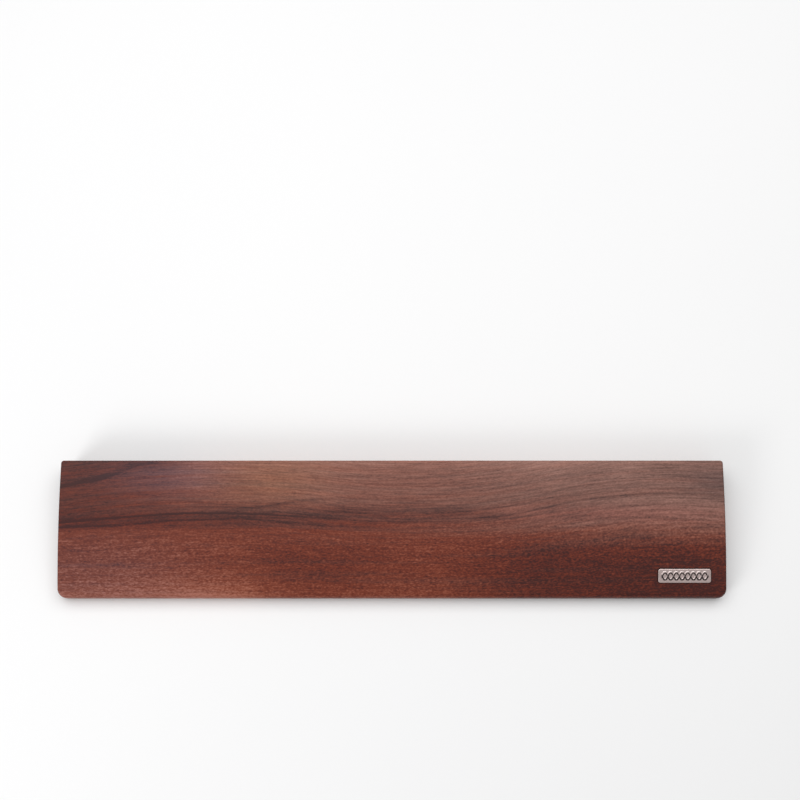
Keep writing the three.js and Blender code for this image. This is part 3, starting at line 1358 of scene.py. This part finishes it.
@dataclass(frozen=True)
class Badge:
    """The die-struck badge near the right end, with two waves that braid along it."""

    board: Board
    low: Vector
    high: Vector
    depth: float = 7.7 * MM
    thickness: float = 1.2 * MM
    proud: float = 0.6 * MM
    corner: float = 1.3 * MM
    face_ease: float = 0.4 * MM
    back_ease: float = 0.1 * MM
    clearance: float = 0.3 * MM
    seat_gap: float = 0.2 * MM
    film: float = 0.4 * MM
    pin_radius: float = 0.8 * MM
    pin_reach: float = 3.5 * MM
    pin_clearance: float = 0.2 * MM
    pin_setback: float = 4.5 * MM
    braid_periods: int = 4
    braid_margin: float = 2 * MM
    braid_swing: float = 1.9 * MM
    braid_width: float = 0.9 * MM
    relief: float = 0.35 * MM
    weave: float = 0.08 * MM  # how far the upper wave stands above the lower one where they cross
    dome_reach: float = 1.35  # how far out a wave's dome comes down to the plate, in half widths
    dome_power: float = 0.8  # less than 1 makes the dome's top flatter
    flank_step: float = 0.06 * MM  # half the distance between the heights that tell a flank's slope
    dark_reach: float = 1.5  # how far out the darkening ends, in half widths
    dark_fade: float = 0.4  # the width over which it fades
    dark_level: float = 0.95
    flank_contrast: float = 3.0  # how much a flank's slope paints shade where it faces the front and a highlight where it faces the back

    @property
    def length(self) -> float:
        """The badge's length."""
        return self.high.x - self.low.x

    @property
    def place(self) -> Matrix:
        """The badge's own frame: on the palm surface, with +Z as the surface's normal."""
        x, y = (self.low.x + self.high.x) / 2, (self.low.y + self.high.y) / 2
        spot = Matrix.Translation((x, y, self.board.palm(y)))
        return spot @ Matrix.Rotation(self.board.palm_slope(y), 4, "X")

    @property
    def span(self) -> float:
        """The braid's length."""
        return self.length - 2 * self.braid_margin

    def _wave(self, x: float, y: float, side: int) -> tuple[float, float]:
        """How near a point is to one of the braid's waves.

        Args:
            x: The point.
            y: The point.
            side: 1 or -1, for the wave that starts upwards or downwards.

        Returns:
            The distance to its centre line, in half widths, and how high it lies in the weave, -1 to 1.
        """
        rate = 2 * math.pi * self.braid_periods / self.span
        phase = rate * min(max(x + self.span / 2, 0.0), self.span)
        slope = self.braid_swing * rate * math.cos(phase)
        beside = abs(y - side * self.braid_swing * math.sin(phase)) / math.hypot(1, slope)
        beyond = max(0.0, abs(x) - self.span / 2)
        return math.hypot(beside, beyond) / (self.braid_width / 2), side * math.cos(phase)

    def _strike(self, x: float, y: float) -> float:
        """The height of the struck work above the plate's face at a point."""
        best = 0.0
        for side in (1, -1):
            near, lift = self._wave(x, y, side)
            if near < self.dome_reach:
                dome = math.sqrt(1 - (near / self.dome_reach) ** 2) ** self.dome_power
                best = max(best, (self.relief - self.weave * (1 - lift) / 2) * dome)
        return best

    def _dark_fill_and_painted_light(self, x: float, y: float) -> float:
        """How dark the metal is: 1 on the braid's dark fill and its painted shade, and down to -1 where a
        highlight is painted on its back flanks.
        """
        rise = self._strike(x, y + self.flank_step) - self._strike(x, y - self.flank_step)
        slope = rise / (2 * self.flank_step)
        near = min(self._wave(x, y, side)[0] for side in (1, -1))
        dark = min(1.0, max(0.0, (self.dark_reach - near) / self.dark_fade))
        # Painted light: flanks facing the back get a painted highlight, and flanks facing the front a
        # little painted shade.
        return dark * min(1.0, max(-1.0, self.dark_level + self.flank_contrast * slope))

    def build(
        self, nickel: bpy.types.Material, tape: bpy.types.Material, brass: bpy.types.Material
    ) -> bpy.types.Object:
        """Makes the plate, and dresses it, its adhesive film and its pins.

        Args:
            nickel: The plate's material.
            tape: The film's material.
            brass: The pins' material.

        Returns:
            The piece.
        """
        block = EasedBlock(
            length=self.length,
            depth=self.depth,
            front_corner=self.corner,
            back_corner=self.corner,
            bottom=self.proud - self.thickness,
            top=lambda x, y: self.proud + self._strike(x, y),
            front_ease=self.face_ease,
            end_ease=self.face_ease,
            bottom_ease=self.back_ease,
            side_steps=72,
            columns=340,
        )
        mesh = block.mesh("badge_nickel")
        # The point attribute carries the braid's dark fill, with its painted shade and painted highlight.
        dark_fill_and_painted_light = mesh.attributes.new("dark_fill_and_painted_light", "FLOAT", "POINT")
        face = self.proud - self.face_ease / 2
        shades = [self._dark_fill_and_painted_light(v.co.x, v.co.y) if v.co.z > face else 0.0 for v in mesh.vertices]
        dark_fill_and_painted_light.data.foreach_set("value", shades)
        piece = object_of(mesh, self.place)
        shade(piece, math.radians(75))
        piece.data.materials.append(nickel)
        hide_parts("badge_plate")
        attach(piece, ROOT)
        dress("badge_adhesive_film", tape)
        dress("badge_pin_left", brass)
        dress("badge_pin_right", brass)
        return piece

    def pocket(self, mouth_ease: float) -> bpy.types.Object:
        """The shape that the badge's pocket takes out of the board.

        Args:
            mouth_ease: The radius of the pocket's mouth.

        Returns:
            The cutter.
        """
        floor = self.proud - self.thickness - 2 * self.seat_gap - self.film
        levels = [(floor, 0.0)]
        for sine, cosine in quarter(MOUTH_STEPS):
            levels.append((mouth_ease * (sine - 1), mouth_ease * (1 - cosine)))
        levels.append((mouth_ease * 2, mouth_ease))
        rings = []
        for z, grow in levels:
            wider = self.clearance + grow
            size = (self.length + 2 * wider, self.depth + 2 * wider)
            corners = (self.corner + wider, self.corner + wider)
            half = half_outline(*size, corners, side_steps=2, corner_steps=10)
            right = [(rim.x + rim.radius * rim.out_x, rim.y + rim.radius * rim.out_y, z) for rim in half]
            rings.append(right + [(-x, y, z) for x, y, z in reversed(right)])
        return object_of(stack("pocket_cutter", rings), self.place)

    def pin_holes(self) -> list[bpy.types.Object]:
        """The shapes that the pins' holes take out of the board."""
        tip = self.proud - self.thickness - self.pin_reach - self.pin_clearance
        radius = self.pin_radius + self.pin_clearance
        reach = self.length / 2 - self.pin_setback
        holes = []
        for x in (-reach, reach):
            bar = Turned(((radius, tip), (radius, 0.0)), steps=40)
            holes.append(object_of(bar.mesh("pin_hole_cutter", x), self.place))
        return holes


# ---------------------------------------------------------------- The studio


@dataclass(frozen=True)
class SoftBox:
    """A rectangular studio light that faces the board."""

    name: str
    place: tuple[float, float, float]
    size: Point2
    watts: float
    tint: Colour = (1.0, 1.0, 1.0)

    def build(self) -> None:
        """Puts the light into the scene."""
        light = bpy.data.lights.new(self.name, "AREA")
        light.shape = "RECTANGLE"
        light.size, light.size_y = self.size
        light.energy = self.watts
        light.color = self.tint
        made = bpy.data.objects.new(self.name, light)
        bpy.context.scene.collection.objects.link(made)
        made.location = self.place
        made.rotation_mode = "QUATERNION"
        made.rotation_quaternion = (-Vector(self.place)).to_track_quat("-Z", "Y")
        made.visible_camera = False
        log.info("%s: soft box", self.name)


@dataclass(frozen=True)
class Studio:
    """The floor, the lights and the camera."""

    floor_half: float = 4.0
    floor_colours: tuple[Colour, Colour] = ((0.93, 0.93, 0.93), (0.915, 0.915, 0.918))
    floor_roughness: float = 0.8
    camera_height: float = 0.64766
    camera_side: float = 0.004455
    camera_front: float = 0.069356
    camera_tilt: float = math.radians(12.64)
    lens: float = 51.64
    ambient: float = 0.36

    def build(self) -> None:
        """Makes everything round the object."""
        self._floor()
        self._sky()
        for box in SOFT_BOXES:
            box.build()
        self._camera()
        settings = bpy.context.scene.view_settings
        settings.view_transform = "Standard"

    def _floor(self) -> None:
        """A plain pale floor at the feet's undersides."""
        half = self.floor_half
        corners = [(-half, -half, 0), (half, -half, 0), (half, half, 0), (-half, half, 0)]
        floor = object_of(mesh_of("studio_floor", corners, [(0, 1, 2, 3)]))
        graph = Graph("floor_pale")
        cloud = Cells(400, 400, 400).draw(*graph.object_axes())
        colour = graph.mix(cloud.rise(-1, 1), *self.floor_colours)
        sockets = {"Base Color": colour, "Roughness": self.floor_roughness}
        floor.data.materials.append(graph.surface(sockets))
        log.info("studio_floor: staged")

    def _sky(self) -> None:
        """An even, faint light from all round."""
        world = bpy.data.worlds.new("studio_air")
        world.use_nodes = True
        backdrop = world.node_tree.nodes["Background"]
        backdrop.inputs["Color"].default_value = (1.0, 1.0, 1.0, 1.0)
        backdrop.inputs["Strength"].default_value = self.ambient
        bpy.context.scene.world = world

    def _camera(self) -> None:
        """A camera high over the board, tilted to its back."""
        lens = bpy.data.cameras.new("camera")
        lens.lens = self.lens
        lens.sensor_width = 36.0
        camera = bpy.data.objects.new("camera", lens)
        bpy.context.scene.collection.objects.link(camera)
        camera.location = (self.camera_side, -self.camera_front, self.camera_height)
        camera.rotation_euler = (self.camera_tilt, 0.0, 0.0)
        bpy.context.scene.camera = camera


SOFT_BOXES = (
    SoftBox("overhead_back", (0.0, 0.42, 1.0), (1.7, 1.0), 10.2),
    SoftBox("front_left", (-0.75, -0.65, 0.55), (0.5, 0.4), 4.0),
)


# ---------------------------------------------------------------- The whole object


def main() -> None:
    """Builds the studio, the board, the badge and the feet."""
    Studio().build()
    tape = ACRYLIC_TAPE.material()
    board = Board(*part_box("wood_body"))
    badge = Badge(board, *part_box("badge_plate"))
    rows, columns = ("front", "back"), ("left", "middle", "right")
    places = [f"{row}_{column}" for row in rows for column in columns]
    feet = [Foot(place, *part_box(f"foot_{place}")) for place in places]
    board.build(feet, badge)
    badge.build(StruckNickel().material(), tape, DRAWN_BRASS.material())
    rubber = MOULDED_RUBBER.material()
    for foot in feet:
        foot.build(rubber, tape)


if __name__ == "__main__":
    logging.basicConfig(level=logging.INFO, format="%(message)s")
    main()
